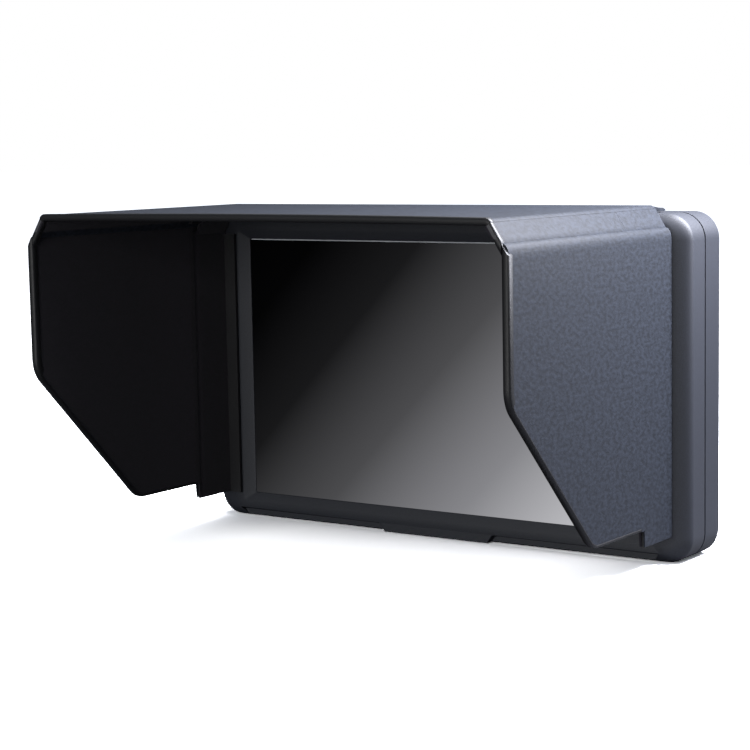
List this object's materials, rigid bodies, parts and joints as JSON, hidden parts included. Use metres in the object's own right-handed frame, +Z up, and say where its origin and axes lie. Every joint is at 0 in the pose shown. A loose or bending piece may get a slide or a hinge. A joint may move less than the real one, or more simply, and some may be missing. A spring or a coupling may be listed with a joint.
{
  "type": "camera field monitor with sun hood",
  "caption": "Slim on-camera field monitor with a folding leatherette sun hood: two side flaps and a top flap with slanted strips, keys on top, sockets at the side and a battery plate behind.",
  "frame": {"origin": "mouth of the tripod thread, in the middle of the foot of the housing", "axes": "+X to the viewer's right along the width, -Y towards the viewer, +Z up"},
  "size_m": [0.1544, 0.1007, 0.0923],
  "materials": {
    "housing_plastic": "satin",
    "screen_glass": "gloss",
    "foam": "matte",
    "display_glass": "gloss",
    "aluminium_tray": "brushed",
    "circuit_board": "satin",
    "steel_screws": "satin",
    "socket_steel": "satin",
    "jack_plastic": "satin",
    "switch_steel": "satin",
    "light_pipe": "gloss",
    "key_rubber": "matte",
    "plate_plastic": "matte",
    "contact_brass": "polished",
    "latch_plastic": "satin",
    "spring_steel": "satin",
    "insert_brass": "machined",
    "frame_plastic": "matte",
    "hook_tape": "matte",
    "leatherette": "grained satin",
    "felt": "matte",
    "edge_binding": "matte",
    "stiffener": "matte"
  },
  "bodies": {
    "monitor": {"front_bezel": "housing_plastic", "rear_cover": "housing_plastic", "screen_glass": "screen_glass", "glass_gasket": "foam", "display_cell": "display_glass", "backlight_tray": "aluminium_tray", "tray_screws": "steel_screws", "main_board": "circuit_board", "board_screws": "steel_screws", "hdmi_input": "socket_steel", "hdmi_output": "socket_steel", "headphone_jack": "jack_plastic", "power_input": "jack_plastic", "power_output": "jack_plastic", "service_port": "socket_steel", "key_board": "circuit_board", "tact_switches": "switch_steel", "status_light": "light_pipe", "battery_plate": "plate_plastic", "battery_contacts": "contact_brass", "latch_spring": "spring_steel", "plate_screws": "steel_screws", "tripod_insert": "insert_brass", "case_screws": "steel_screws", "hood_frame": "frame_plastic", "rim_tape": "hook_tape", "top_tape": "hook_tape", "base_skin": "leatherette", "base_lining": "felt"},
    "key_power": {"key_power": "key_rubber"},
    "key_menu": {"key_menu": "key_rubber"},
    "key_up": {"key_up": "key_rubber"},
    "key_down": {"key_down": "key_rubber"},
    "key_input": {"key_input": "key_rubber"},
    "key_exit": {"key_exit": "key_rubber"},
    "battery_latch": {"battery_latch": "latch_plastic"},
    "flap_right": {"flap_right_skin": "leatherette", "flap_right_board": "stiffener", "flap_right_lining": "felt", "flap_right_edging": "edge_binding"},
    "flap_left": {"flap_left_skin": "leatherette", "flap_left_board": "stiffener", "flap_left_lining": "felt", "flap_left_edging": "edge_binding"},
    "flap_top": {"flap_top_skin": "leatherette", "flap_top_board": "stiffener", "flap_top_lining": "felt", "flap_top_edging": "edge_binding"},
    "gusset_right": {"gusset_right_skin": "leatherette", "gusset_right_board": "stiffener", "gusset_right_lining": "felt"},
    "gusset_left": {"gusset_left_skin": "leatherette", "gusset_left_board": "stiffener", "gusset_left_lining": "felt"}
  },
  "joints": [
    {"name": "flap_right_fold", "type": "hinge", "parent": "monitor", "child": "flap_right", "pos_m": [0.0728, -0.03035, 0.045], "axis": [0, 0, -1], "range_deg": [0, 90]},
    {"name": "flap_left_fold", "type": "hinge", "parent": "monitor", "child": "flap_left", "pos_m": [-0.0728, -0.03035, 0.045], "axis": [0, 0, 1], "range_deg": [0, 90]},
    {"name": "flap_top_fold", "type": "hinge", "parent": "monitor", "child": "flap_top", "pos_m": [0, -0.03455, 0.0921], "axis": [1, 0, 0], "range_deg": [0, 90]},
    {"name": "gusset_right_fold", "type": "hinge", "parent": "flap_top", "child": "gusset_right", "pos_m": [0.06674, -0.06455, 0.09035], "axis": [0, 1, 0], "range_deg": [0, 120]},
    {"name": "gusset_left_fold", "type": "hinge", "parent": "flap_top", "child": "gusset_left", "pos_m": [-0.06674, -0.06455, 0.09035], "axis": [0, -1, 0], "range_deg": [0, 120]},
    {"name": "key_power_press", "type": "slide", "parent": "monitor", "child": "key_power", "axis": [0, 0, -1], "range_m": [0, 0.0005], "stiffness_N_per_m": 1500, "springref_m": -0.0003},
    {"name": "key_menu_press", "type": "slide", "parent": "monitor", "child": "key_menu", "axis": [0, 0, -1], "range_m": [0, 0.0005], "stiffness_N_per_m": 1500, "springref_m": -0.0003},
    {"name": "key_up_press", "type": "slide", "parent": "monitor", "child": "key_up", "axis": [0, 0, -1], "range_m": [0, 0.0005], "stiffness_N_per_m": 1500, "springref_m": -0.0003},
    {"name": "key_down_press", "type": "slide", "parent": "monitor", "child": "key_down", "axis": [0, 0, -1], "range_m": [0, 0.0005], "stiffness_N_per_m": 1500, "springref_m": -0.0003},
    {"name": "key_input_press", "type": "slide", "parent": "monitor", "child": "key_input", "axis": [0, 0, -1], "range_m": [0, 0.0005], "stiffness_N_per_m": 1500, "springref_m": -0.0003},
    {"name": "key_exit_press", "type": "slide", "parent": "monitor", "child": "key_exit", "axis": [0, 0, -1], "range_m": [0, 0.0005], "stiffness_N_per_m": 1500, "springref_m": -0.0003},
    {"name": "latch_press", "type": "slide", "parent": "monitor", "child": "battery_latch", "axis": [0, -1, 0], "range_m": [0, 0.0012], "stiffness_N_per_m": 800, "springref_m": -0.0006}
  ],
  "couplings": [
    {"joint": "gusset_right_fold", "follows": "flap_top_fold", "ratio": 1.3333},
    {"joint": "gusset_left_fold", "follows": "flap_top_fold", "ratio": 1.3333}
  ]
}
